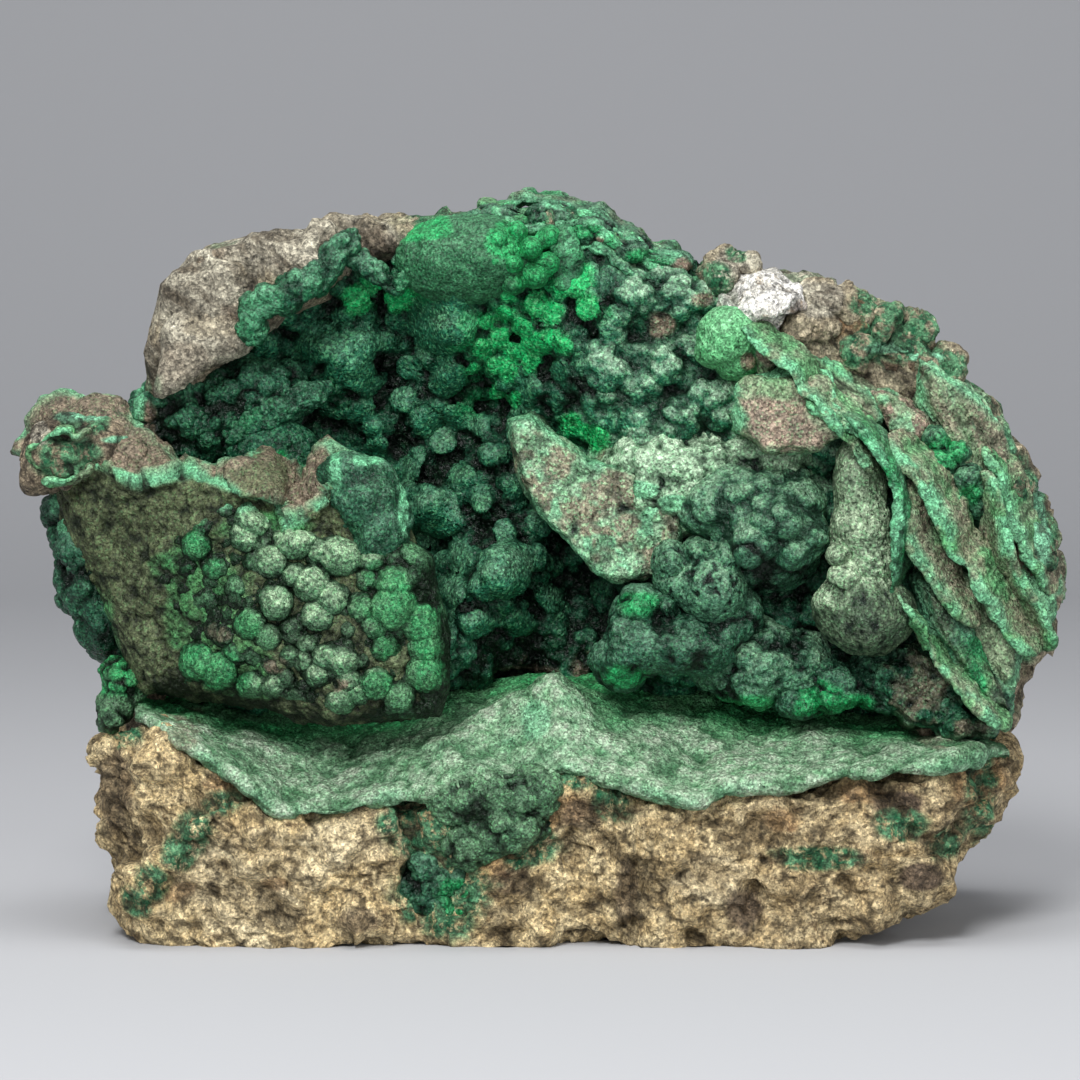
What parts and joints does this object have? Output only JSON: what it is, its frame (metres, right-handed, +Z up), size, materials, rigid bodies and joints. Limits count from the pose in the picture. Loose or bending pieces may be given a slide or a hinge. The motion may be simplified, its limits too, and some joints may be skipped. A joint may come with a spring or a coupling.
{
  "type": "malachite specimen",
  "caption": "Natural rock with a wide open hollow, lined with lumpy green malachite over a sloping malachite-crusted floor on a sandy brown base.",
  "frame": {"origin": "on the flat of the rock's underside, below the middle of the specimen", "axes": "+X to the right along the specimen's width, +Y from the open front to the back, +Z up"},
  "size_m": [0.2346, 0.1074, 0.169],
  "materials": {
    "host_rock": "rough, granular, broken",
    "malachite_lining": "botryoidal, finely crystalline, dusted",
    "malachite_floor_crust": "velvety, sparkling"
  },
  "bodies": {
    "root": {"host_rock": "host_rock", "malachite_lining": "malachite_lining", "malachite_floor_crust": "malachite_floor_crust"}
  },
  "joints": []
}
